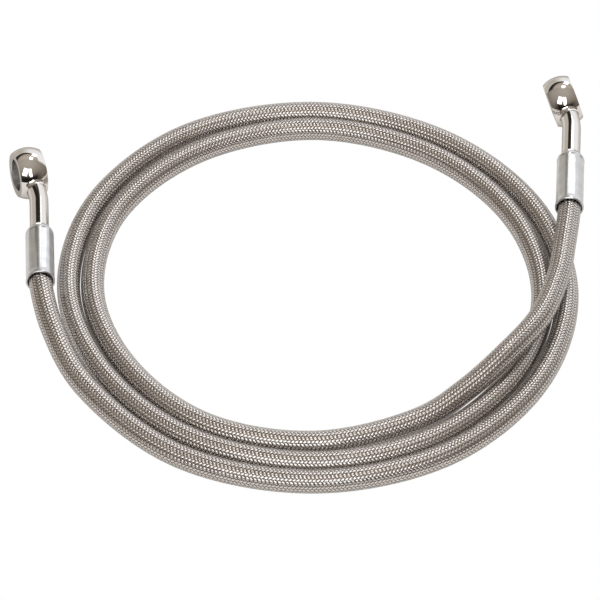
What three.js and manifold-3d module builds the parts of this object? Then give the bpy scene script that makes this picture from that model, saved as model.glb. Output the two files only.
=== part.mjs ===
// A braided brake hose, about 1.3 m long, with a banjo fitting crimped on each end. It lies in two and a half turns.
// Millimetres, +Z up. The surface it lies on is z = 0, and the origin is midway between the two end fittings.
import * as THREE from "three";
import { mergeVertices } from "three/addons/utils/BufferGeometryUtils.js";
import Module from "manifold-3d";

const wasm = await Module();
wasm.setup();

// Hose: a clear jacket over a stainless steel braid over a dark liner tube.
const hoseDiameter = 7.5;
const jacketWall = 0.45;
const braidWall = 0.6;
const linerWall = 0.8;
const layerGap = 0.15;
const hoseSteps = 80;
const jacketSides = 12;
const innerLayerSides = 8;

// Gap between pieces that touch on the real hose.
const fitGap = 0.3;

// Banjo eye, which a hollow bolt passes through.
const eyeBore = 10.4;
const eyeDiameter = 17.2;
const eyeFaceDiameter = 14.6;
const eyeThickness = 9;
const boreChamfer = 0.3;

// Stem between the eye and the hose, bent towards one face of the eye.
const stemDiameter = 6.2;
const stemBend = THREE.MathUtils.degToRad(16);
const bendLength = 9;
const sleeveToBend = 17.8;
const bendToEye = 11.7;
const neckFillet = 2.2;
const collarWidth = 0.45;
const collarLength = 0.9;
const passageDiameter = 1.8;

// Nipple that is pushed into the liner, with three shallow barbs.
const nippleLength = 14;
const nippleGap = 0.25;
const barbDepth = 0.12;
const barbCount = 3;

// Crimped sleeve over the end of the hose.
const sleeveLength = 24;
const sleeveGrip = 17;
const sleeveWall = 0.55;
const rearWall = 2.4;
const shoulderRound = 2.2;
const mouthLength = 1.6;
const mouthFlare = 0.08;
const flatDepth = 0.22;
const flatCount = 8;

// Rolls of the two fittings about their sleeves, as the coil's springiness leaves them.
const firstRoll = THREE.MathUtils.degToRad(4);
const secondRoll = THREE.MathUtils.degToRad(-17);

// Turns of the crimped flats about each sleeve, as the crimping tool happens to leave them.
const firstCrimpTurn = THREE.MathUtils.degToRad(14);
const secondCrimpTurn = THREE.MathUtils.degToRad(22);

// Route of the hose's centreline, from the cut end in the first sleeve to the cut end in the second:
// bearing about the coil's centre in degrees, distance from that centre, and height.
const coilCentre = new THREE.Vector2(5.6, -44.98);
const route = [
  [170.6, 90.2, 9.78],
  [176.0, 88.7, 10.12],
  [181.5, 88.0, 10.47],
  [195, 86.1, 9.0],
  [211, 84.4, 5.4],
  [240, 83.5, 3.95],
  [270, 82.5, 3.8],
  [300, 81.7, 3.8],
  [330, 80.5, 3.8],
  [360, 80.7, 3.8],
  [390, 81.5, 3.8],
  [420, 83.1, 3.8],
  [450, 85.1, 3.8],
  [480, 85.5, 3.8],
  [510, 82.8, 3.8],
  [540, 79.3, 3.8],
  [570, 76.1, 3.8],
  [600, 75.5, 3.8],
  [630, 74.8, 3.8],
  [660, 74.0, 3.8],
  [690, 72.8, 3.8],
  [720, 73.0, 3.8],
  [750, 73.5, 3.8],
  [780, 75.1, 3.8],
  [810, 77.2, 3.8],
  [840, 76.6, 3.8],
  [870, 74.9, 3.8],
  [900, 71.6, 3.8],
  [930, 68.4, 3.8],
  [960, 67.9, 3.8],
  [990, 66.3, 3.85],
  [1020, 65.3, 4.4],
  [1035, 66.1, 7.0],
  [1050, 69.2, 11.0],
  [1065, 73.6, 11.7],
  [1080, 77.7, 11.65],
  [1090, 81.5, 11.6],
  [1100.4, 88.2, 11.5],
  [1105.3, 92.0, 11.43],
  [1109.7, 96.4, 11.36],
];

const jacketBore = hoseDiameter - 2 * jacketWall;
const braidDiameter = jacketBore - 2 * layerGap;
const braidBore = braidDiameter - 2 * braidWall;
const linerDiameter = braidBore - 2 * layerGap;
const linerBore = linerDiameter - 2 * linerWall;
const sleeveBore = hoseDiameter + 2 * fitGap;
const sleeveDiameter = sleeveBore + 2 * sleeveWall;
const sleeveRear = sleeveLength - sleeveGrip;

// A closed mesh as a solid, for joining and cutting.
function toSolid(geometry) {
  const bare = geometry.clone();
  bare.deleteAttribute("normal");
  bare.deleteAttribute("uv");
  const merged = mergeVertices(bare, 1e-4);
  return new wasm.Manifold(
    new wasm.Mesh({
      numProp: 3,
      vertProperties: merged.getAttribute("position").array,
      triVerts: new Uint32Array(merged.index.array),
    }),
  );
}

function toGeometry(solid) {
  const { vertProperties, triVerts } = solid.getMesh();
  const geometry = new THREE.BufferGeometry();
  geometry.setAttribute("position", new THREE.BufferAttribute(vertProperties, 3));
  geometry.setIndex(new THREE.BufferAttribute(triVerts, 1));
  const faceted = geometry.toNonIndexed();
  faceted.computeVertexNormals();
  return faceted;
}

// A turned solid about Y. The profile is [radius, y] pairs, anticlockwise with the axis on its left.
function turned(profile, sides) {
  const points = profile.map(([radius, y]) => new THREE.Vector2(radius, y));
  return toSolid(new THREE.LatheGeometry(points, sides));
}

// Points of a round polygon whose flats face along its own X and Y.
function polygon(diameter, sides) {
  const halfSide = Math.PI / sides;
  return Array.from({ length: sides }, (_, i) => {
    const angle = (2 * i + 1) * halfSide;
    return new THREE.Vector2(Math.cos(angle), Math.sin(angle)).multiplyScalar(diameter / 2);
  });
}

// A round tube, or a rod where the bore is 0, along a curve.
function tubeAlong(curve, diameter, bore, outerSides, boreSides, steps) {
  const section = new THREE.Shape(polygon(diameter, outerSides));
  if (bore > 0) section.holes.push(new THREE.Path(polygon(bore, boreSides)));
  return new THREE.ExtrudeGeometry(section, { steps, bevelEnabled: false, extrudePath: curve });
}

const hoseCurve = new THREE.CatmullRomCurve3(
  route.map(([bearing, distance, height]) => {
    const angle = THREE.MathUtils.degToRad(bearing);
    return new THREE.Vector3(
      coilCentre.x + distance * Math.cos(angle),
      coilCentre.y + distance * Math.sin(angle),
      height,
    );
  }),
  false,
  "centripetal",
);

// The path of the brake fluid in a fitting, from a height on the sleeve's axis to a distance from the eye's centre.
// In a fitting's own frame the hose's cut end is at y = 0, the sleeve lies along Y and the stem bends towards +X.
const bendCorner = new THREE.Vector3(0, sleeveRear + sleeveToBend, 0);
const towardsEye = new THREE.Vector3(Math.sin(stemBend), Math.cos(stemBend), 0);
const eyeCentre = bendCorner.clone().addScaledVector(towardsEye, bendToEye);

function stemPath(startY, endFromEye) {
  const bendStart = bendCorner.clone().setY(bendCorner.y - bendLength / 2);
  const bendEnd = bendCorner.clone().addScaledVector(towardsEye, bendLength / 2);
  const end = eyeCentre.clone().addScaledVector(towardsEye, -endFromEye);
  const path = new THREE.CurvePath();
  path.add(new THREE.LineCurve3(new THREE.Vector3(0, startY, 0), bendStart));
  path.add(new THREE.QuadraticBezierCurve3(bendStart, bendCorner, bendEnd));
  path.add(new THREE.LineCurve3(bendEnd, end));
  return path;
}

// Turns a solid made about Y so that its axis lies along the stem at the eye, and puts it at the eye's centre.
function atEye(solid, quarterTurn) {
  const turn = new THREE.Matrix4().makeRotationZ(-stemBend + (quarterTurn ? Math.PI / 2 : 0));
  return solid.transform(turn.setPosition(eyeCentre).elements);
}

// A ring with flat sealing faces, a barrel-shaped outside and chamfered bore edges.
function eyeRing() {
  const half = eyeThickness / 2;
  const bore = eyeBore / 2;
  const face = eyeFaceDiameter / 2;
  const crown = eyeDiameter / 2 - face;
  const arcRadius = (half ** 2 + crown ** 2) / (2 * crown);
  const arcPoints = 7;
  const outside = Array.from({ length: arcPoints }, (_, i) => {
    const along = half * ((2 * i) / (arcPoints - 1) - 1);
    return [face + crown - arcRadius + Math.sqrt(arcRadius ** 2 - along ** 2), along];
  });
  const inside = [
    [bore + boreChamfer, half],
    [bore, half - boreChamfer],
    [bore, boreChamfer - half],
    [bore + boreChamfer, -half],
  ];
  return turned([...outside, ...inside, outside[0]], 32);
}

// The flare where the stem runs into the ring.
function eyeNeck() {
  const stem = stemDiameter / 2;
  const ringOutside = eyeDiameter / 2;
  const arcPoints = 5;
  const flareRadius = Math.min(stem + neckFillet / 2, eyeThickness / 2 - boreChamfer);
  const flare = Array.from({ length: arcPoints }, (_, i) => {
    const angle = (i / (arcPoints - 1)) * (Math.PI / 2);
    return [
      stem + (flareRadius - stem) * (1 - Math.cos(angle)),
      -ringOutside - neckFillet * (1 - Math.sin(angle)) + neckFillet / 2,
    ];
  });
  const wallMiddle = -(eyeBore / 2 + ringOutside) / 2;
  return turned([[0, flare[0][1]], ...flare, [flareRadius, wallMiddle], [0, wallMiddle]], 16);
}

// The nipple in the liner, the flange inside the sleeve and the collar behind it, turned about the sleeve's axis.
function nippleAndFlange() {
  const nipple = linerBore / 2 - nippleGap;
  const flange = hoseDiameter / 2;
  const stem = stemDiameter / 2;
  const flangeEnd = sleeveRear - rearWall - fitGap;
  const collarStart = sleeveRear + fitGap;
  const barbPitch = nippleLength / (barbCount + 1);
  const barbs = [];
  for (let i = 0; i < barbCount; i++) {
    const tip = -nippleLength + i * barbPitch;
    barbs.push([nipple - barbDepth, tip]);
    barbs.push([nipple, tip + barbPitch / 2]);
  }
  return turned(
    [
      [0, -nippleLength],
      ...barbs,
      [nipple - barbDepth, -barbPitch],
      [nipple - barbDepth, fitGap],
      [flange, fitGap],
      [flange, flangeEnd],
      [stem, flangeEnd],
      [stem, collarStart],
      [stem + collarWidth, collarStart],
      [stem + collarWidth, collarStart + collarLength / 2],
      [stem, collarStart + collarLength],
      [0, collarStart + collarLength],
    ],
    16,
  );
}

// The banjo: eye, stem and nipple in one piece, with the fluid passage from the nipple's tip into the bore.
function banjoGeometry() {
  const stem = toSolid(
    tubeAlong(stemPath(fitGap, (eyeBore + eyeDiameter) / 4), stemDiameter, 0, 16, 0, 14),
  );
  const passage = toSolid(
    tubeAlong(stemPath(-nippleLength - fitGap, eyeBore / 4), passageDiameter, 0, 6, 0, 18),
  );
  const body = atEye(eyeRing(), true).add(atEye(eyeNeck(), false)).add(stem).add(nippleAndFlange());
  return toGeometry(body.subtract(passage));
}

// The sleeve: turned with a rounded rear and a plain rim at its mouth, then crimped to flats between them.
function sleeveGeometry() {
  const outside = sleeveDiameter / 2;
  const bore = sleeveBore / 2;
  const rearOpening = stemDiameter / 2 + fitGap;
  const arcPoints = 5;
  const rearEdge = Array.from({ length: arcPoints }, (_, i) => {
    const angle = (i / (arcPoints - 1)) * (Math.PI / 3);
    return [
      outside - shoulderRound * (1 - Math.cos(angle)),
      sleeveRear - shoulderRound * Math.sin(Math.PI / 3) + shoulderRound * Math.sin(angle),
    ];
  });
  const rim = outside + mouthFlare;
  const profile = [
    [bore, -sleeveGrip],
    [rim, -sleeveGrip],
    [rim, -sleeveGrip + mouthLength / 2],
    [outside, -sleeveGrip + mouthLength],
    ...rearEdge,
    [rearOpening, sleeveRear],
    [rearOpening, sleeveRear - rearWall],
    [bore, sleeveRear - rearWall],
    [bore, -sleeveGrip],
  ];
  let sleeve = turned(profile, 32);
  const flatsStart = -sleeveGrip + mouthLength;
  const flatsEnd = sleeveRear - shoulderRound;
  const cutter = new THREE.BoxGeometry(outside, flatsEnd - flatsStart, outside);
  cutter.translate(1.5 * outside - flatDepth, (flatsStart + flatsEnd) / 2, 0);
  for (let i = 0; i < flatCount; i++) {
    sleeve = sleeve.subtract(toSolid(cutter));
    cutter.rotateY((2 * Math.PI) / flatCount);
  }
  return toGeometry(sleeve);
}

const clearJacket = new THREE.MeshStandardMaterial({ color: 0x9d9a96, roughness: 0.25, metalness: 0.2 });
const steelWire = new THREE.MeshStandardMaterial({ color: 0xa8a49e, roughness: 0.35, metalness: 0.9 });
const darkLiner = new THREE.MeshStandardMaterial({ color: 0x2a2826, roughness: 0.6, metalness: 0 });
const brightPlate = new THREE.MeshStandardMaterial({ color: 0xd9d7d2, roughness: 0.12, metalness: 1 });
const satinPlate = new THREE.MeshStandardMaterial({ color: 0xc4c6c8, roughness: 0.25, metalness: 1 });

function namedMesh(name, geometry, material) {
  const mesh = new THREE.Mesh(geometry, material);
  mesh.name = name;
  return mesh;
}

// A banjo and its sleeve, set on the hose's end: the sleeve runs on from the hose, and roll turns it about itself.
function endFitting(prefix, end, outwards, roll, crimpTurn) {
  const fitting = new THREE.Group();
  fitting.add(namedMesh(prefix + "_banjo", banjoGeometry(), brightPlate));
  const sleeve = namedMesh(prefix + "_sleeve", sleeveGeometry(), satinPlate);
  sleeve.rotateY(crimpTurn);
  fitting.add(sleeve);
  const up = new THREE.Vector3(0, 0, 1);
  const side = new THREE.Vector3().crossVectors(up, outwards).normalize();
  const top = new THREE.Vector3().crossVectors(side, outwards);
  fitting.quaternion.setFromRotationMatrix(new THREE.Matrix4().makeBasis(side, outwards, top));
  fitting.rotateY(roll);
  fitting.position.copy(end);
  return fitting;
}

const brakeLine = new THREE.Group();
brakeLine.add(
  namedMesh(
    "hose_jacket",
    tubeAlong(hoseCurve, hoseDiameter, jacketBore, jacketSides, innerLayerSides, hoseSteps),
    clearJacket,
  ),
  namedMesh(
    "wire_braid",
    tubeAlong(hoseCurve, braidDiameter, braidBore, innerLayerSides, innerLayerSides, hoseSteps),
    steelWire,
  ),
  namedMesh(
    "hose_liner",
    tubeAlong(hoseCurve, linerDiameter, linerBore, innerLayerSides, innerLayerSides, hoseSteps),
    darkLiner,
  ),
  endFitting("first", hoseCurve.getPointAt(0), hoseCurve.getTangentAt(0).negate(), firstRoll, firstCrimpTurn),
  endFitting("second", hoseCurve.getPointAt(1), hoseCurve.getTangentAt(1), secondRoll, secondCrimpTurn),
);

export default brakeLine;
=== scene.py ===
# %% [markdown]
# # A braided brake hose with a banjo fitting on each end
# The hose lies in two and a half turns on a white surface. A clear jacket covers a woven steel braid.
# Each end runs into a crimped sleeve, from which a bent stem leads to the eye of a banjo fitting.
#
# Everything is in metres, with +Z up and the surface at z = 0. The lesson goes from the hose's route,
# which all else follows, to the hose, the fittings, and at last the light.

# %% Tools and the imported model
import math

import bmesh
import bpy
import numpy as np
from mathutils import Matrix, Vector


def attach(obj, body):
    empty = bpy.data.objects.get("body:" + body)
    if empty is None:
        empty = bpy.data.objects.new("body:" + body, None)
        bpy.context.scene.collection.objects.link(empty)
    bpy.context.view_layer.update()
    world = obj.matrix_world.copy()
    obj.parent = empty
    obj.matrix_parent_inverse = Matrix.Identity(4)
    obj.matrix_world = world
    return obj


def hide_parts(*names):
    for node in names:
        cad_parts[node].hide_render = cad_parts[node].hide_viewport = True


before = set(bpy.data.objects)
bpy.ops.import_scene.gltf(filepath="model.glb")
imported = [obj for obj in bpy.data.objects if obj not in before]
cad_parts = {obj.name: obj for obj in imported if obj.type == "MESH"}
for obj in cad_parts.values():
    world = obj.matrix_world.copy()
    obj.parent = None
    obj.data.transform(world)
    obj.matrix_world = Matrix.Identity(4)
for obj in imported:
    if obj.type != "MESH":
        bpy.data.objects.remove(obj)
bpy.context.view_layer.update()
print("nodes:", sorted(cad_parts))

# %% [markdown]
# ## Route of the hose
# A real hose of this kind is stiff, so its coil is a row of long, even curves with no kinks.
# Such a route could be drawn by hand as a Bezier curve, but then it would not match the solid hose.
# So it is given as the solid's own points: a bearing about the coil's centre in degrees,
# a distance from that centre, and a height.

# %% Points of the route
coil_centre = (0.0056, -0.04498)
route = [
    (170.6, 0.0902, 0.00978),
    (176.0, 0.0887, 0.01012),
    (181.5, 0.0880, 0.01047),
    (195, 0.0861, 0.0090),
    (211, 0.0844, 0.0054),
    (240, 0.0835, 0.00395),
    (270, 0.0825, 0.0038),
    (300, 0.0817, 0.0038),
    (330, 0.0805, 0.0038),
    (360, 0.0807, 0.0038),
    (390, 0.0815, 0.0038),
    (420, 0.0831, 0.0038),
    (450, 0.0851, 0.0038),
    (480, 0.0855, 0.0038),
    (510, 0.0828, 0.0038),
    (540, 0.0793, 0.0038),
    (570, 0.0761, 0.0038),
    (600, 0.0755, 0.0038),
    (630, 0.0748, 0.0038),
    (660, 0.0740, 0.0038),
    (690, 0.0728, 0.0038),
    (720, 0.0730, 0.0038),
    (750, 0.0735, 0.0038),
    (780, 0.0751, 0.0038),
    (810, 0.0772, 0.0038),
    (840, 0.0766, 0.0038),
    (870, 0.0749, 0.0038),
    (900, 0.0716, 0.0038),
    (930, 0.0684, 0.0038),
    (960, 0.0679, 0.0038),
    (990, 0.0663, 0.00385),
    (1020, 0.0653, 0.0044),
    (1035, 0.0661, 0.0070),
    (1050, 0.0692, 0.0110),
    (1065, 0.0736, 0.0117),
    (1080, 0.0777, 0.01165),
    (1090, 0.0815, 0.0116),
    (1100.4, 0.0882, 0.0115),
    (1105.3, 0.0920, 0.01143),
    (1109.7, 0.0964, 0.01136),
]
print("points on the route:", len(route))

# %% [markdown]
# A centripetal Catmull-Rom curve runs through all its points without overshooting between close ones.
# It is written out here, because the ends of Blender's own splines are handled in another way.


# %% The curve through the points
def route_point(bearing, distance, height):
    angle = math.radians(bearing)
    x = coil_centre[0] + distance * math.cos(angle)
    y = coil_centre[1] + distance * math.sin(angle)
    return (x, y, height)


def smooth_curve(points, steps):
    """Centripetal Catmull-Rom curve through the points, with that many steps in each span."""
    points = np.array(points)
    before = 2 * points[0] - points[1]
    after = 2 * points[-1] - points[-2]
    points = np.vstack([before, points, after])
    gap = np.sqrt(np.linalg.norm(np.diff(points, axis=0), axis=1))[:, None]
    slope = np.diff(points, axis=0) / gap
    # Slope of the curve at each point, from the spans on both sides of it.
    across = (points[2:] - points[:-2]) / (gap[1:] + gap[:-1])
    tangent = slope[:-1] - across + slope[1:]
    t = np.linspace(0, 1, steps, endpoint=False)[:, None]
    spans = []
    for i in range(len(points) - 3):
        start, end = points[i + 1], points[i + 2]
        leave, arrive = tangent[i] * gap[i + 1], tangent[i + 1] * gap[i + 1]
        turn = -3 * start + 3 * end - 2 * leave - arrive
        bend = 2 * start - 2 * end + leave + arrive
        spans.append(start + leave * t + turn * t**2 + bend * t**3)
    return np.vstack([*spans, points[-2]])


steps_in_a_span = 80
dense = smooth_curve([route_point(*row) for row in route], steps_in_a_span)
dense_along = np.append(0, np.cumsum(np.linalg.norm(np.diff(dense, axis=0), axis=1)))
hose_length = dense_along[-1]
print(f"length of the hose: {hose_length:.4f} m")


# %% [markdown]
# The curve's points lie closer together in some spans than in others. To step along the hose in even
# lengths, a value is read at a distance from the first end, between the two points next to it.


# %% Reading values along the curve
def along_dense(values, distance):
    """Values given at the dense points, read at distances along the hose."""
    return np.stack([np.interp(distance, dense_along, column) for column in values.T], -1)


# %% [markdown]
# ## A frame along the hose
# A tube or a braid needs to know which way is sideways at every place along it. A frame that is worked
# out afresh at each point may spin suddenly, so it is carried from point to point without twisting.

# %% Stations and their frames
station_spacing = 0.001
station_count = int(hose_length / station_spacing)
stations = np.linspace(0, hose_length, station_count + 1)
centreline = along_dense(dense, stations)
tangents = np.gradient(centreline, axis=0)
tangents /= np.linalg.norm(tangents, axis=1)[:, None]
normals = np.zeros_like(centreline)
normals[0] = np.cross(tangents[0], (0, 0, 1))
for i in range(len(stations)):
    carried = normals[max(i - 1, 0)]
    carried = carried - tangents[i] * carried.dot(tangents[i])
    normals[i] = carried / np.linalg.norm(carried)
binormals = np.cross(tangents, normals)
bend = np.linalg.norm(np.gradient(tangents, stations, axis=0), axis=1)
print(f"tightest bend: radius {1 / bend.max():.4f} m")


# %% [markdown]
# Every piece of the hose is then drawn in the hose's own terms: how far along, at which angle round it,
# and how far from its middle. One function turns these into places.


# %% A point on the hose
def on_hose(distance, angle, radius):
    """Points at distances along the hose, angles round it and radii from its centreline."""

    def read(values):
        return np.stack([np.interp(distance, stations, column) for column in values.T], -1)

    outwards = read(normals) * np.cos(angle)[..., None] + read(binormals) * np.sin(angle)[..., None]
    return read(centreline) + outwards * np.asarray(radius)[..., None]


# %% [markdown]
# ## Camera
# The object was seen from some way off, because the near and far turns are almost equally wide.
# A long lens from 1.3 m gives that. It looks down at 45 degrees, at which the round coil
# becomes an ellipse of the right shape.

# %% Camera
photo_width = 600
pixels_per_metre_at_target = 3106.7
camera_distance = 1.3
target = Vector((0.0006, -0.04498, 0))
elevation = math.radians(45)

camera_data = bpy.data.cameras.new("camera")
camera_data.sensor_width = 36
focal_pixels = pixels_per_metre_at_target * camera_distance
camera_data.lens = camera_data.sensor_width * focal_pixels / photo_width
camera_data.clip_end = 10
camera = bpy.data.objects.new("camera", camera_data)
backwards = Vector((0, -math.cos(elevation), math.sin(elevation)))
camera.location = target + backwards * camera_distance
camera.rotation_euler = backwards.to_track_quat("Z", "Y").to_euler()
bpy.context.collection.objects.link(camera)
bpy.context.scene.camera = camera
print(f"lens: {camera_data.lens:.0f} mm")

# %% [markdown]
# ## Short ways to make materials
# Materials are node trees. They could be clicked together in the editor, but a script can add a node
# and join it in one line, with the few helpers of this class.


# %% Node helper
class Nodes:
    """Short ways to add and join the nodes of one material, or of the world."""

    def __init__(self, owner):
        self.owner = owner
        owner.use_nodes = True
        self.tree = owner.node_tree
        self.tree.nodes.clear()

    def add(self, kind, settings=None, **inputs):
        node = self.tree.nodes.new(kind)
        for key, value in (settings or {}).items():
            setattr(node, key, value)
        for key, value in inputs.items():
            self.feed(node.inputs[key.replace("_", " ")], value)
        return node

    def feed(self, socket, value):
        if isinstance(value, bpy.types.NodeSocket):
            self.tree.links.new(value, socket)
        else:
            socket.default_value = value

    def math(self, operation, *values):
        node = self.add("ShaderNodeMath", {"operation": operation})
        for socket, value in zip(node.inputs, values):
            self.feed(socket, value)
        return node.outputs[0]

    def ramp(self, factor, *stops):
        node = self.add("ShaderNodeValToRGB", Fac=factor)
        ramp = node.color_ramp
        while len(ramp.elements) < len(stops):
            ramp.elements.new(1)
        for element, (position, colour) in zip(ramp.elements, stops):
            element.position = position
            element.color = (*colour, 1)
        return node.outputs["Color"]

    def mix(self, factor, first, second):
        node = self.add("ShaderNodeMix", {"data_type": "RGBA"})
        for name, value in (("Factor_Float", factor), ("A_Color", first), ("B_Color", second)):
            self.feed(next(socket for socket in node.inputs if socket.identifier == name), value)
        return next(socket for socket in node.outputs if socket.identifier == "Result_Color")

    def blend(self, factor, first, second):
        """The first shader where the factor is 0 and the second where it is 1."""
        node = self.add("ShaderNodeMixShader", Fac=factor)
        self.tree.links.new(first.outputs[0], node.inputs[1])
        self.tree.links.new(second.outputs[0], node.inputs[2])
        return node

    def finish(self, shader, output="ShaderNodeOutputMaterial"):
        self.tree.links.new(shader.outputs[0], self.add(output).inputs["Surface"])
        print(f"{self.owner.name}: {len(self.tree.nodes)} nodes")
        return self.owner


def material_nodes(name):
    return Nodes(bpy.data.materials.new(name))


# %% [markdown]
# ## Shapes from rings
# The jacket, the stems and their necks are tubes of changing section. A curve with a bevel could make
# them, but not a section that turns from a circle into a saddle. So a disc is extruded from one ring of
# points to the next, which always gives a closed shape. The sign of its volume tells which side of its
# faces is out.


# %% Finished pieces
def add_piece(name, mesh, material):
    """A piece of the object, which moves with the one body there is."""
    mesh.materials.append(material)
    piece = bpy.data.objects.new(name, mesh)
    bpy.context.collection.objects.link(piece)
    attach(piece, "root")
    print(f"{name}: {len(mesh.polygons)} faces")
    return piece


# %% Turning a shell the right way out
def face_outwards(bm, faces):
    """Turns the faces of one closed shell outwards, which makes the volume that they hold positive."""
    bmesh.ops.recalc_face_normals(bm, faces=faces)
    bm.normal_update()
    volume = sum(face.calc_area() * face.normal.dot(face.calc_center_median()) for face in faces) / 3
    if volume < 0:
        bmesh.ops.reverse_faces(bm, faces=faces)
    print(f"shell of {len(faces)} faces holds about {abs(volume) * 1e9:.0f} mm3")


# %% A tube through rings
def loft(bm, rings):
    """A closed tube through rings of points: a disc that is extruded from each ring to the next."""
    already_there = set(bm.faces)
    circle = bmesh.ops.create_circle(bm, cap_ends=True, radius=1, segments=len(rings[0]))
    disc = circle["verts"][0].link_faces[0]
    start = list(disc.verts)
    for corner, point in zip(start, rings[0]):
        corner.co = point
    for ring in rings[1:]:
        disc = bmesh.ops.extrude_discrete_faces(bm, faces=[disc])["faces"][0]
        for corner, point in zip(disc.verts, ring):
            corner.co = point
    bmesh.ops.contextual_create(bm, geom=start)
    face_outwards(bm, [face for face in bm.faces if face not in already_there])


def finished_mesh(name, bm, sharp_degrees):
    """The mesh of a bmesh, smooth except over edges that are sharper than an angle."""
    for face in bm.faces:
        face.smooth = True
    for edge in bm.edges:
        edge.smooth = edge.calc_face_angle(math.pi) < math.radians(sharp_degrees)
    mesh = bpy.data.meshes.new(name)
    bm.to_mesh(mesh)
    bm.free()
    return mesh


# %% [markdown]
# ## Clear jacket
# The real jacket is a thin clear plastic tube over the braid. Glass with refraction could stand for it,
# but it needs many light bounces and turns grainy. So light passes straight through it, it mirrors the
# lights, and its edges turn milky, as where one looks along a thin clear wall.

# %% Material of the clear jacket
nodes = material_nodes("clear_jacket")
place = nodes.add("ShaderNodeTexCoord").outputs["Object"]
ripple = nodes.add("ShaderNodeTexNoise", Vector=place, Scale=160, Detail=2)
bump = nodes.add("ShaderNodeBump", Strength=0.12, Distance=0.0004, Height=ripple.outputs["Fac"])
milky = nodes.add("ShaderNodeBsdfDiffuse", Color=(0.42, 0.4, 0.38, 1))
glossy = nodes.add(
    "ShaderNodeBsdfGlossy",
    Color=(1, 1, 1, 1),
    Roughness=0.12,
    Normal=bump.outputs["Normal"],
)
facing = nodes.add("ShaderNodeLayerWeight", Blend=0.5).outputs["Facing"]
clear = nodes.add("ShaderNodeBsdfTransparent", Color=(0.94, 0.925, 0.915, 1))
edge = nodes.ramp(facing, (0.5, (0, 0, 0)), (0.7, (0.3, 0.3, 0.3)), (0.85, (0.85, 0.85, 0.85)))
gloss = nodes.math("ADD", nodes.math("MULTIPLY", nodes.math("POWER", facing, 5.0), 0.6), 0.035)
clear_jacket = nodes.finish(nodes.blend(gloss, nodes.blend(edge, clear, milky), glossy))

# %% [markdown]
# The tube follows the route with a ring every few millimetres. At both ends, inside the sleeves,
# it turns in and closes.

# %% The clear jacket
hose_diameter = 0.0075
jacket_wall = 0.00045
jacket_sides = 32
jacket_steps = 480
rows = np.linspace(0, hose_length, jacket_steps + 1)
rows = np.concatenate([rows[:1], rows, rows[-1:]])
radii = np.full(len(rows), hose_diameter / 2)
radii[[0, -1]] = hose_diameter / 2 - jacket_wall
turns = np.arange(jacket_sides) * math.tau / jacket_sides
distance, angle = np.meshgrid(rows, turns, indexing="ij")
bm = bmesh.new()
loft(bm, on_hose(distance, angle, np.broadcast_to(radii[:, None], distance.shape)))
jacket = add_piece("jacket", finished_mesh("jacket", bm, sharp_degrees=60), clear_jacket)
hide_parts("hose_jacket")

# %% [markdown]
# ## Steel wire
# A ribbon of the braid is a few fine wires side by side. Modelling each wire would take millions of
# faces, so bump draws the wires on the ribbon. The ribbon's own UV map says how far across it a place
# is, and how far it stands up. That height sets a painted shade: the ribbon is painted dark where it
# dips under its neighbours.

# %% Material of the wire
wires_per_ribbon = 5
nodes = material_nodes("steel_wire")
uv = nodes.add("ShaderNodeUVMap", {"uv_map": "ribbon"})
split = nodes.add("ShaderNodeSeparateXYZ", Vector=uv.outputs["UV"])
# The UV's Y is how far the ribbon stands up, and it sets the ribbon's painted shade.
across, lift_for_painted_shade = split.outputs["X"], split.outputs["Y"]
ridge = nodes.math("SINE", nodes.math("MULTIPLY", across, wires_per_ribbon * math.tau))
place = nodes.add("ShaderNodeTexCoord").outputs["Object"]
mottle = nodes.add("ShaderNodeTexNoise", Vector=place, Scale=900, Detail=2)
uneven = nodes.math("MULTIPLY", nodes.math("SUBTRACT", mottle.outputs["Fac"], 0.5), 0.15)
shade = nodes.math("ADD", lift_for_painted_shade, uneven)
# Painted shade: near black where a ribbon dips under its neighbours or at its edges, bright steel on its
# crests; the mottle adds tone at random.
colour = nodes.ramp(
    shade,
    (0.0, (0.003, 0.003, 0.003)),
    (0.22, (0.02, 0.018, 0.017)),
    (0.52, (0.33, 0.32, 0.312)),
    (0.78, (0.98, 0.96, 0.95)),
)
bump = nodes.add("ShaderNodeBump", Strength=0.15, Distance=0.00003, Height=ridge)
steel_wire = nodes.finish(
    nodes.add(
        "ShaderNodeBsdfPrincipled",
        Base_Color=colour,
        Metallic=1.0,
        Roughness=0.27,
        Normal=bump.outputs["Normal"],
    )
)

# %% [markdown]
# ## Woven braid
# Eighteen ribbons of wire wind each way, and each one passes over two and under two of the others.
# Crossings lie in columns along the hose, and the ribbon that is on top changes every two columns,
# which gives the lengthwise rows of slanting beads. No operator weaves, so the strips are grids of
# points that follow the rule. Where a ribbon is out of sight, a single point carries it across.
# The clear wall magnifies the real braid until it seems to fill the jacket, so it is drawn that wide.


# %% Strips from grids of points
def quad_corners(grid):
    """The values at the four corners of each quad of a grid."""
    return np.stack([grid[:-1, :-1], grid[:-1, 1:], grid[1:, 1:], grid[1:, :-1]], 2)


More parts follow.
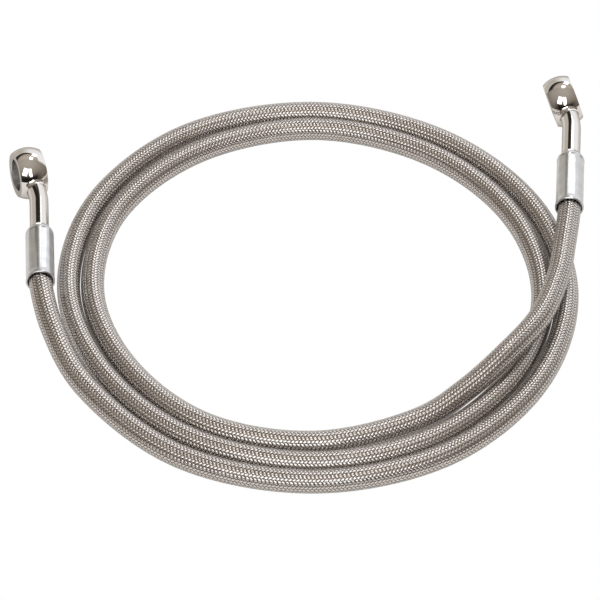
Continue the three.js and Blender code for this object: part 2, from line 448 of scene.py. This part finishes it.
def strips_mesh(name, strips):
    """One mesh from strips, each a grid of points and a grid of the UVs that go with them."""
    points, faces, uvs = [], [], []
    offset = 0
    for grid, uv in strips:
        rows, columns = grid.shape[:2]
        index = np.arange(rows * columns).reshape(rows, columns) + offset
        points.append(grid.reshape(-1, 3))
        faces.append(quad_corners(index).reshape(-1, 4))
        uvs.append(quad_corners(uv).reshape(-1, 2))
        offset += rows * columns
    points, faces = np.vstack(points), np.vstack(faces)
    mesh = bpy.data.meshes.new(name)
    mesh.vertices.add(len(points))
    mesh.vertices.foreach_set("co", points.ravel())
    mesh.loops.add(faces.size)
    mesh.loops.foreach_set("vertex_index", faces.ravel().astype(np.int32))
    mesh.polygons.add(len(faces))
    mesh.polygons.foreach_set("loop_start", np.arange(0, faces.size, 4, dtype=np.int32))
    mesh.update(calc_edges=True)
    mesh.uv_layers.new(name="ribbon").uv.foreach_set("vector", np.vstack(uvs).ravel())
    mesh.shade_smooth()
    return mesh


# %% Sizes of the braid
ribbons_each_way = 18
windings = 58
# The braid ends this far from each end of the hose, inside the sleeves.
braid_margin = 0.011
ribbon_width = 0.00089
# A ribbon's edges lie this much lower than its middle.
ribbon_crown = 0.00012
# Radius of the braid half way between its crests and dips, and the height of the crests over that.
braid_middle = 0.00343
braid_wave = 0.00016
lead = hose_length / windings
crossing_step = lead / (2 * ribbons_each_way)
braid_slant = math.atan(math.tau * braid_middle / lead)
print(f"slant of the ribbons: {math.degrees(braid_slant):.0f} degrees")

# %% [markdown]
# A ribbon rises over two others, dips under two, and begins again after four crossings. Its neighbour
# does the same two crossings later, and the ribbons of the other way one crossing later, when these dip.

# %% The weave's rule
repeat = 4
# Places along one over-and-under, counted in crossings. The dip out of sight needs only one.
beat = np.array([-0.5, 0.0, 0.5, 1.0, 1.5, 2.5])
beats = np.arange(-1, hose_length / crossing_step / repeat + 2) * repeat
count = (beats[:, None] + beat).ravel()


def ribbon(number, way):
    """Distances, angles and heights of one ribbon: way is 1 or -1, the sense in which it winds."""
    crossings = count if way > 0 else count + 1
    start = (2 * number) % repeat
    distance = (crossings - start) * crossing_step
    inside = (distance > braid_margin) & (distance < hose_length - braid_margin)
    distance, crossings = distance[inside], crossings[inside]
    wave = np.cos((crossings - (0.5 if way > 0 else 1.5)) * math.tau / repeat)
    angle = math.tau * (number / ribbons_each_way + way * distance / lead)
    return distance, angle, wave


# %% [markdown]
# Four points across give a ribbon its rounded back. Its edges lie lower and get a darker painted shade,
# because on the real braid they sink into the shade between the neighbours.

# %% One ribbon as a grid
sides = np.array([-0.5, -0.2, 0.2, 0.5])
# How much painted shade darkens a ribbon's edges.
edge_shade = 0.45


def ribbon_grids(number, way):
    """A grid of points along and across one ribbon, and one of UVs: place across it, and its painted
    shade.
    """
    distance, angle, wave = ribbon(number, way)
    offset = sides * ribbon_width
    radius = braid_middle + braid_wave * wave[:, None] - ribbon_crown * (2 * sides) ** 2
    shift_along = -way * offset * math.sin(braid_slant)
    shift_round = offset * math.cos(braid_slant) / braid_middle
    grid = on_hose(distance[:, None] + shift_along, angle[:, None] + shift_round, radius)
    # Painted shade: the level falls where the ribbon dips and towards its edges.
    lift_for_painted_shade = 0.5 + 0.5 * wave[:, None] - edge_shade * (2 * np.abs(sides)) ** 3
    across = np.broadcast_to(sides + 0.5, lift_for_painted_shade.shape)
    return grid, np.stack([across, np.clip(lift_for_painted_shade, 0, 1)], -1)


# %% [markdown]
# The ribbons that wind to the right and those that wind to the left are kept in two pieces each, so that
# no single mesh grows too large.

# %% The four parts of the braid
for way, label in ((1, "right"), (-1, "left")):
    for half in range(2):
        numbers = range(half * ribbons_each_way // 2, (half + 1) * ribbons_each_way // 2)
        name = f"braid_{label}_{half + 1}"
        mesh = strips_mesh(name, [ribbon_grids(number, way) for number in numbers])
        add_piece(name, mesh, steel_wire)
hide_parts("wire_braid")

# %% [markdown]
# ## Liner
# The inner tube carries the fluid, and only its finish matters here: it stays as the solid model has it.
# Its colour is near black, a painted shade for the dark seen through the gaps of the braid.

# %% Material of the liner
nodes = material_nodes("painted_shade_liner")
place = nodes.add("ShaderNodeTexCoord").outputs["Object"]
cloud = nodes.add("ShaderNodeTexNoise", Vector=place, Scale=400, Detail=2)
# Painted shade: near black for the shade in the braid's gaps, with tone that varies at random.
colour = nodes.ramp(cloud.outputs["Fac"], (0.3, (0.02, 0.019, 0.018)), (0.7, (0.035, 0.032, 0.03)))
painted_shade_liner = nodes.finish(nodes.add("ShaderNodeBsdfPrincipled", Base_Color=colour, Roughness=0.6))
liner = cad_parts["hose_liner"]
liner.material_slots[0].material = painted_shade_liner

# %% [markdown]
# ## Banjo fittings
# A real banjo is forged and bored in one piece, then plated. Each of its shapes is made the way a lathe
# or a bender makes it: the eye and the collar are outlines spun round an axis, and the stem is a tube
# that follows its bend. They overlap inside the metal, where nothing shows.
# A fitting is made in a frame of its own, and is then moved to the hose's end as a whole:
# the hose's cut end is at the origin, the sleeve lies along +Y and the stem bends towards +X.

# %% Sizes of the sleeve and the stem
sleeve_length = 0.024
sleeve_grip = 0.017
sleeve_rear = sleeve_length - sleeve_grip
stem_diameter = 0.0062
# How far the stem runs on inside the sleeve and inside the eye's wall.
stem_overlap = 0.001
stem_bend = math.radians(16)
bend_length = 0.009
sleeve_to_bend = 0.0178
bend_to_eye = 0.0117
fit_gap = 0.0003
bend_corner = np.array([0, sleeve_rear + sleeve_to_bend, 0])
towards_eye = np.array([math.sin(stem_bend), math.cos(stem_bend), 0])
eye_centre = bend_corner + towards_eye * bend_to_eye
bore_axis = np.array([-math.cos(stem_bend), math.sin(stem_bend), 0])
upwards = np.array([0, 0, 1])
print("eye's centre in the fitting's frame:", eye_centre.round(4))


# %% [markdown]
# A lathe's work is drawn as half a section. The outline goes round the metal and back to its start, so
# that a full spin about the axis closes the ring without any caps.


# %% Spinning an outline
def spin_ring(bm, outline, steps):
    """A closed ring: an outline of pairs of radius and y, spun about the Y axis."""
    already_there = set(bm.faces)
    corners = [bm.verts.new((radius, y, 0)) for radius, y in outline]
    edges = [bm.edges.new(pair) for pair in zip(corners, [*corners[1:], corners[0]])]
    geom = [*corners, *edges]
    bmesh.ops.spin(bm, geom=geom, axis=(0, 1, 0), angle=math.tau, steps=steps, use_merge=True)
    face_outwards(bm, [face for face in bm.faces if face not in already_there])


# %% [markdown]
# The eye is a barrel with two flat faces and a bore for the bolt. Its outline holds all of these, and the
# chamfers of the bore too, so one spin closes the shape. The bore looks duller than the plated outside.
# A face attribute marks its faces, and the material reads it.

# %% Sizes of the eye
eye_bore = 0.0104
eye_diameter = 0.0172
eye_face_diameter = 0.0146
eye_thickness = 0.009
bore_chamfer = 0.0003
edge_round = 0.0002
eye_sides = 96
barrel_rings = 25
# Allowance for rounding where two lengths are compared.
hair = 1e-6


# %% The eye
def barrel_radius(along):
    """Radius of the eye's barrel-shaped outside, at a distance from its middle along the bore."""
    half, crown = eye_thickness / 2, (eye_diameter - eye_face_diameter) / 2
    arc_radius = (half**2 + crown**2) / (2 * crown)
    return eye_diameter / 2 - arc_radius + np.sqrt(arc_radius**2 - along**2)


def add_eye(bm):
    """The eye, with the faces of its bore marked."""
    half, bore, face = eye_thickness / 2, eye_bore / 2, eye_face_diameter / 2
    levels = np.sin(np.linspace(-math.pi / 2, math.pi / 2, barrel_rings)) * half
    barrel = [(barrel_radius(y), y) for y in levels]
    outline = [(bore + bore_chamfer, -half), (face - edge_round, -half), *barrel]
    outline += [(face - edge_round, half), (bore + bore_chamfer, half)]
    for inset in (bore_chamfer, bore_chamfer + edge_round, eye_thickness - bore_chamfer - edge_round):
        outline.append((bore, half - inset))
    outline.append((bore, bore_chamfer - half))
    spin_ring(bm, outline, eye_sides)
    bored = bm.faces.layers.float.new("bore")
    for face in bm.faces:
        widest = max(math.hypot(corner.co.x, corner.co.z) for corner in face.verts)
        face[bored] = widest < bore + bore_chamfer + hair
    turned = Matrix((towards_eye, bore_axis, upwards)).transposed().to_4x4()
    bmesh.ops.transform(bm, matrix=Matrix.Translation(eye_centre) @ turned, verts=bm.verts)


# %% [markdown]
# The stem runs straight out of the sleeve, round its bend and into the eye. A fillet leads from it onto
# the barrel. Its outer edge is where a cylinder meets the barrel, which is a saddle-shaped line,
# so each ring of the neck bends from a circle towards that line.

# %% Sizes of the neck
neck_fillet = 0.0011
neck_sink = 0.00005
stem_sides = 48
round_stem = np.arange(stem_sides) * math.tau / stem_sides


# %% The neck
def add_neck(bm, steps=10):
    """The flare from the stem onto the eye's barrel."""
    inner, outer = stem_diameter / 2, stem_diameter / 2 + neck_fillet

    def reach(radius):
        along, round_it = radius * np.cos(round_stem), radius * np.sin(round_stem)
        return np.sqrt(barrel_radius(along) ** 2 - round_it**2)

    start, corner, end = reach(inner) + neck_fillet, reach(inner), reach(outer) - neck_sink
    rings = []
    for t in np.linspace(0, 1, steps):
        radius = (1 - t**2) * inner + t**2 * outer
        back = (1 - t) ** 2 * start + 2 * t * (1 - t) * corner + t**2 * end
        sideways = np.outer(np.cos(round_stem), bore_axis) + np.outer(np.sin(round_stem), upwards)
        rings.append(eye_centre + radius * sideways - np.outer(back, towards_eye))
    loft(bm, rings)


# %% [markdown]
# A bent tube could be a curve with a bevel. Here it is lofted like the neck: its rings lean over step by
# step through the bend, along a simple curve with three control points.


# %% The stem
def add_stem(bm, steps=24):
    """The stem, from inside the sleeve to inside the eye's wall."""
    start = np.array([0, sleeve_rear - stem_overlap, 0])
    before = bend_corner - (0, bend_length / 2, 0)
    after = bend_corner + towards_eye * bend_length / 2
    end = eye_centre - towards_eye * (eye_diameter / 2 - stem_overlap)
    t = np.linspace(0, 1, steps)[:, None]
    curve = (1 - t) ** 2 * before + 2 * t * (1 - t) * bend_corner + t**2 * after
    lean = np.arctan2(*np.gradient(curve, axis=0)[:, :2].T)
    centres = np.vstack([start, curve, end])
    leans = np.concatenate([[0, 0], lean[1:-1], [stem_bend, stem_bend]])
    sideways = np.stack([np.cos(leans), -np.sin(leans), np.zeros(len(leans))], -1)
    ring = np.cos(round_stem)[:, None] * sideways[:, None, :] + np.outer(np.sin(round_stem), upwards)
    loft(bm, centres[:, None, :] + ring * stem_diameter / 2)


# %% [markdown]
# A low collar stands round the stem, just behind the sleeve. It is another spun outline,
# with its two outer corners rounded.

# %% The collar
collar_width = 0.00045
collar_length = 0.0009
collar_round = 0.00012
collar_sink = 0.0003
# Shares of the collar's length at which its rim and its bevel end.
rim_share, slope_share = 0.55, 0.75


def add_collar(bm):
    """The collar. Its inner side lies inside the stem."""
    stem, rim = stem_diameter / 2, stem_diameter / 2 + collar_width
    start = sleeve_rear + fit_gap
    outline = [
        (stem - collar_sink, start),
        (rim - collar_round, start),
        (rim, start + collar_round),
        (rim, start + collar_length * rim_share),
        (rim - collar_round, start + collar_length * slope_share),
        (stem, start + collar_length),
        (stem - collar_sink, start + collar_length),
    ]
    spin_ring(bm, outline, stem_sides)


# %% [markdown]
# ## Bright plate
# Plated steel mirrors the room, and its waves and clouds are faint. Noise on Object coordinates gives
# them, so they stay with the metal. Where the bore is marked, the colour is duller and the mirror rougher.

# %% Material of the bright plate
nodes = material_nodes("bright_plate")
place = nodes.add("ShaderNodeTexCoord").outputs["Object"]
cloud = nodes.add("ShaderNodeTexNoise", Vector=place, Scale=260, Detail=3)
grain = nodes.add("ShaderNodeTexNoise", Vector=place, Scale=700, Detail=3)
bored = nodes.add("ShaderNodeAttribute", {"attribute_name": "bore"}).outputs["Fac"]
bore_colour = nodes.ramp(grain.outputs["Fac"], (0.3, (0.5, 0.49, 0.48)), (0.7, (0.66, 0.65, 0.64)))
colour = nodes.mix(bored, (0.88, 0.86, 0.835, 1), bore_colour)
gloss = nodes.math("ADD", 0.04, nodes.math("MULTIPLY", cloud.outputs["Fac"], 0.06))
gloss = nodes.math("ADD", gloss, nodes.math("MULTIPLY", bored, 0.25))
bump = nodes.add("ShaderNodeBump", Strength=0.015, Distance=0.0004, Height=cloud.outputs["Fac"])
bright_plate = nodes.finish(
    nodes.add(
        "ShaderNodeBsdfPrincipled",
        Base_Color=colour,
        Specular_Tint=(0.5, 0.49, 0.48, 1),
        Metallic=1.0,
        Roughness=gloss,
        Normal=bump.outputs["Normal"],
    )
)

# %% [markdown]
# ## Crimped sleeve
# A sleeve is turned from bar, plated and then squeezed by a press with eight jaws, which leaves eight
# long flats. Only the rim at its mouth stays round. It is spun first, and the points between the
# two ends of the flats are then drawn in to where a flat lies.

# %% Sizes of the sleeve
sleeve_diameter = 0.0092
sleeve_bore = 0.0081
rear_wall = 0.0024
shoulder_round = 0.0022
mouth_length = 0.0016
mouth_flare = 0.00008
mouth_round = 0.00015
mouth_chamfer = 0.00012
mouth_chamfer_length = 0.0004
rear_chamfer = 0.0003
shoulder_turn = math.pi / 3
sleeve_sides = 96
jaw_angle = math.tau / 8
flat_depth = 0.00022
# Lengths over which the round turns into flats, at the mouth and at the rear.
flat_run_in = 0.0008
flat_run_out = 0.0006


# %% The sleeve's outline
def sleeve_outline():
    """Pairs of radius and y: the rim at the mouth, the outside, the rounded rear and the bore."""
    outside, bore, mouth = sleeve_diameter / 2, sleeve_bore / 2, -sleeve_grip
    rim, rear_hole = outside + mouth_flare, stem_diameter / 2 + fit_gap
    shoulder = []
    for turn in np.linspace(0, shoulder_turn, 8):
        radius = outside - shoulder_round * (1 - math.cos(turn))
        back = shoulder_round * (math.sin(shoulder_turn) - math.sin(turn))
        shoulder.append((radius, sleeve_rear - back))
    return [
        (bore + mouth_chamfer, mouth),
        (rim - mouth_round, mouth),
        (rim, mouth + mouth_round),
        (rim, mouth + mouth_length * 0.5),
        (outside, mouth + mouth_length),
        (outside, mouth + mouth_length + flat_run_in),
        (outside, shoulder[0][1] - flat_run_out),
        *shoulder,
        (rear_hole + rear_chamfer, sleeve_rear),
        (rear_hole, sleeve_rear - rear_chamfer),
        (rear_hole, sleeve_rear - rear_wall),
        (bore, sleeve_rear - rear_wall),
        (bore, mouth + mouth_chamfer_length),
    ], shoulder[0][1]


# %% Spinning and crimping the sleeve
def crimped_sleeve():
    """The sleeve, with a UV map that runs round it and along it, in metres."""
    bm = bmesh.new()
    outline, flats_end = sleeve_outline()
    spin_ring(bm, outline, sleeve_sides)
    flats_start = mouth_length - sleeve_grip
    inside_wall = (sleeve_diameter + sleeve_bore) / 4
    for corner in bm.verts:
        x, y, z = corner.co
        radius = math.hypot(x, z)
        on_flats = flats_start + flat_run_in / 2 < y < flats_end - flat_run_out / 2
        if on_flats and radius > inside_wall:
            from_flat = (math.atan2(x, z) + jaw_angle / 2) % jaw_angle - jaw_angle / 2
            drawn_in = min(radius, (sleeve_diameter / 2 - flat_depth) / math.cos(from_flat)) / radius
            corner.co = (x * drawn_in, y, z * drawn_in)
    around = bm.loops.layers.uv.new("around")
    for face in bm.faces:
        middle = face.calc_center_median()
        turn_of_face = math.atan2(middle.x, middle.z) % math.tau
        for loop in face.loops:
            x, y, z = loop.vert.co
            further = (math.atan2(x, z) - turn_of_face + math.pi) % math.tau - math.pi
            loop[around].uv = ((turn_of_face + further) * sleeve_diameter / 2, y)
    return bm


# %% [markdown]
# ## Satin plate
# The sleeves are plated too, but duller, with fine lines that run along them. Noise that is stretched
# along the sleeve's own UV map gives the lines, in gloss and in bump, and a second noise the clouds.

# %% Material of the satin plate
nodes = material_nodes("satin_plate")
uv = nodes.add("ShaderNodeUVMap", {"uv_map": "around"})
stretch = nodes.add("ShaderNodeMapping", Vector=uv.outputs["UV"], Scale=(2400, 60, 1))
lines = nodes.add("ShaderNodeTexNoise", Vector=stretch.outputs["Vector"], Scale=1, Detail=4)
place = nodes.add("ShaderNodeTexCoord").outputs["Object"]
cloud = nodes.add("ShaderNodeTexNoise", Vector=place, Scale=350, Detail=3)
colour = nodes.ramp(cloud.outputs["Fac"], (0.3, (0.65, 0.665, 0.685)), (0.7, (0.77, 0.785, 0.8)))
gloss = nodes.math("ADD", 0.22, nodes.math("MULTIPLY", lines.outputs["Fac"], 0.17))
bump = nodes.add("ShaderNodeBump", Strength=0.1, Distance=0.00008, Height=lines.outputs["Fac"])
satin_plate = nodes.finish(
    nodes.add(
        "ShaderNodeBsdfPrincipled",
        Base_Color=colour,
        Metallic=1.0,
        Roughness=gloss,
        Normal=bump.outputs["Normal"],
    )
)

# %% [markdown]
# ## Fittings in their places
# Both fittings are alike. Each lies along the hose's end there, rolled a little about its sleeve,
# and its sleeve was crimped at an angle of its own.

# %% Turns of the two fittings
first_roll = math.radians(4)
second_roll = math.radians(-17)
first_crimp_turn = math.radians(14)
second_crimp_turn = math.radians(22)


def fitting_frame(end, outwards, roll):
    """The place of a fitting on the hose's end, turned by roll about its sleeve."""
    end, outwards = Vector(end), Vector(outwards)
    side = Vector((0, 0, 1)).cross(outwards).normalized()
    top = side.cross(outwards)
    turn = Matrix((side, outwards, top)).transposed().to_4x4()
    return Matrix.Translation(end) @ turn @ Matrix.Rotation(roll, 4, "Y")


# %% Both fittings
def add_fitting(prefix, end, outwards, roll, crimp_turn):
    """A banjo with its sleeve, on one end of the hose."""
    place = fitting_frame(end, outwards, roll)
    bm = bmesh.new()
    add_eye(bm)
    add_neck(bm)
    add_stem(bm)
    add_collar(bm)
    bmesh.ops.transform(bm, matrix=place, verts=bm.verts)
    mesh = finished_mesh(f"{prefix}_fitting", bm, sharp_degrees=35)
    banjo = add_piece(f"{prefix}_fitting", mesh, bright_plate)
    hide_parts(f"{prefix}_banjo")

    bm = crimped_sleeve()
    bmesh.ops.transform(bm, matrix=place @ Matrix.Rotation(crimp_turn, 4, "Y"), verts=bm.verts)
    mesh = finished_mesh(f"{prefix}_crimp", bm, sharp_degrees=12)
    crimp = add_piece(f"{prefix}_crimp", mesh, satin_plate)
    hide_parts(f"{prefix}_sleeve")
    return banjo, crimp


add_fitting("first", centreline[0], -tangents[0], first_roll, first_crimp_turn)
second_pieces = add_fitting("second", centreline[-1], tangents[-1], second_roll, second_crimp_turn)

# %% [markdown]

# %% [markdown]
# ## Surface
# The object lies on plain white with no shadow to be seen. If the surface only gave out light, it would
# shine up through every gap between the turns. So it is white where it is seen directly, and for all
# else a matt white sheet with a faint glow.


# %% White surface
def white_surface():
    """Pure white where it is seen directly, and a lit sheet with a faint glow to all that mirrors it."""
    nodes = material_nodes("white_surface")
    white = nodes.add("ShaderNodeEmission", Color=(1, 1, 1, 1), Strength=1.0)
    glow = nodes.add("ShaderNodeEmission", Color=(1, 0.99, 0.98, 1), Strength=0.22)
    sheet = nodes.add("ShaderNodeBsdfDiffuse", Color=(0.9, 0.89, 0.88, 1))
    lit = nodes.add("ShaderNodeAddShader")
    nodes.tree.links.new(glow.outputs[0], lit.inputs[0])
    nodes.tree.links.new(sheet.outputs[0], lit.inputs[1])
    path = nodes.add("ShaderNodeLightPath").outputs
    seen_directly = nodes.math("SUBTRACT", path["Is Camera Ray"], path["Transparent Depth"])
    return nodes.finish(nodes.blend(nodes.math("MAXIMUM", seen_directly, 0.0), lit, white))


# %% The sheet under the object
floor_mesh = bpy.data.meshes.new("floor")
bm = bmesh.new()
bmesh.ops.create_circle(bm, cap_ends=True, segments=64, radius=2.5)
bm.to_mesh(floor_mesh)
bm.free()
floor_mesh.materials.append(white_surface())
floor = bpy.data.objects.new("floor", floor_mesh)
floor.location.z = -0.0002
bpy.context.collection.objects.link(floor)

# %% [markdown]
# ## Surroundings
# Bright metal shows little but its surroundings, so they matter more than its own colour.
# Behind the object stands a backdrop, beige at the left and white at the right, with a thin dark line
# above it and then a dim warm ceiling. The room in front is black up to a low height and brown above
# that, and it is brown at the sides. All of it is painted on the world by direction.

# %% The backdrop and what is above it
nodes = Nodes(bpy.data.worlds.new("studio"))
split = nodes.add("ShaderNodeSeparateXYZ", Vector=nodes.add("ShaderNodeTexCoord").outputs["Generated"])
# The backdrop's top edge is higher at the right.
white_share = nodes.add("ShaderNodeMapRange", Value=split.outputs["X"], From_Min=-0.3, From_Max=0.02)
paper = nodes.ramp(white_share.outputs["Result"], (0.0, (0.54, 0.5, 0.44)), (1.0, (0.95, 0.95, 0.96)))
height = nodes.math("SUBTRACT", split.outputs["Z"], nodes.math("MULTIPLY", split.outputs["X"], 0.22))
above = nodes.ramp(
    split.outputs["Z"],
    (0.0, (0.012, 0.01, 0.009)),
    (0.64, (0.02, 0.017, 0.014)),
    (0.71, (0.4, 0.35, 0.3)),
    (1.0, (0.55, 0.5, 0.44)),
)
over_edge = nodes.add("ShaderNodeMapRange", Value=height, From_Min=0.56, From_Max=0.60)
backdrop = nodes.mix(over_edge.outputs["Result"], paper, above)

# %% The room in front and at the sides
front = nodes.ramp(
    split.outputs["Z"],
    (0.0, (0.015, 0.013, 0.011)),
    (0.36, (0.015, 0.013, 0.011)),
    (0.6, (0.24, 0.2, 0.165)),
    (1.0, (0.43, 0.39, 0.34)),
)
side_walls = nodes.ramp(split.outputs["Z"], (0.0, (0.13, 0.105, 0.08)), (1.0, (0.44, 0.4, 0.35)))
sideways = nodes.math("ABSOLUTE", nodes.math("SUBTRACT", split.outputs["X"], 0.12))
aside = nodes.add("ShaderNodeMapRange", Value=sideways, From_Min=0.5, From_Max=0.85)
room = nodes.mix(aside.outputs["Result"], front, side_walls)

# %% The world
behind = nodes.add("ShaderNodeMapRange", Value=split.outputs["Y"], From_Min=0.25, From_Max=0.4)
surroundings = nodes.mix(behind.outputs["Result"], room, backdrop)
background = nodes.add("ShaderNodeBackground", Color=surroundings)
bpy.context.scene.world = nodes.finish(background, "ShaderNodeOutputWorld")

# %% [markdown]
# ## Lights
# Two broad soft lights above the camera's shoulders make the row of beads along each turn sparkle.
# Three small ones put the highlights on the eyes and the stems.


# %% Lights
def add_light(name, location, width, height, power):
    """A soft rectangular light that points at the middle of the coil."""
    data = bpy.data.lights.new(name, "AREA")
    data.shape = "RECTANGLE"
    data.size, data.size_y = width, height
    data.energy = power
    light = bpy.data.objects.new(name, data)
    light.location = location
    light.rotation_euler = (Vector(location) - target).to_track_quat("Z", "Y").to_euler()
    bpy.context.collection.objects.link(light)
    print(f"{name}: {power} W")


add_light("main_left", (-0.42, -1.12, 1.22), 0.62, 1.0, 4.9)
add_light("main_right", (0.24, -1.16, 1.26), 0.4, 0.9, 2.8)
add_light("low_right", (0.2, -0.98, 0.6), 0.2, 0.2, 0.5)
add_light("back_right", (0.30, 0.88, 0.87), 0.32, 0.32, 0.7)
add_light("overhead", (0.1, 0.42, 0.95), 0.2, 0.2, 0.8)
bpy.context.scene.view_settings.view_transform = "Standard"
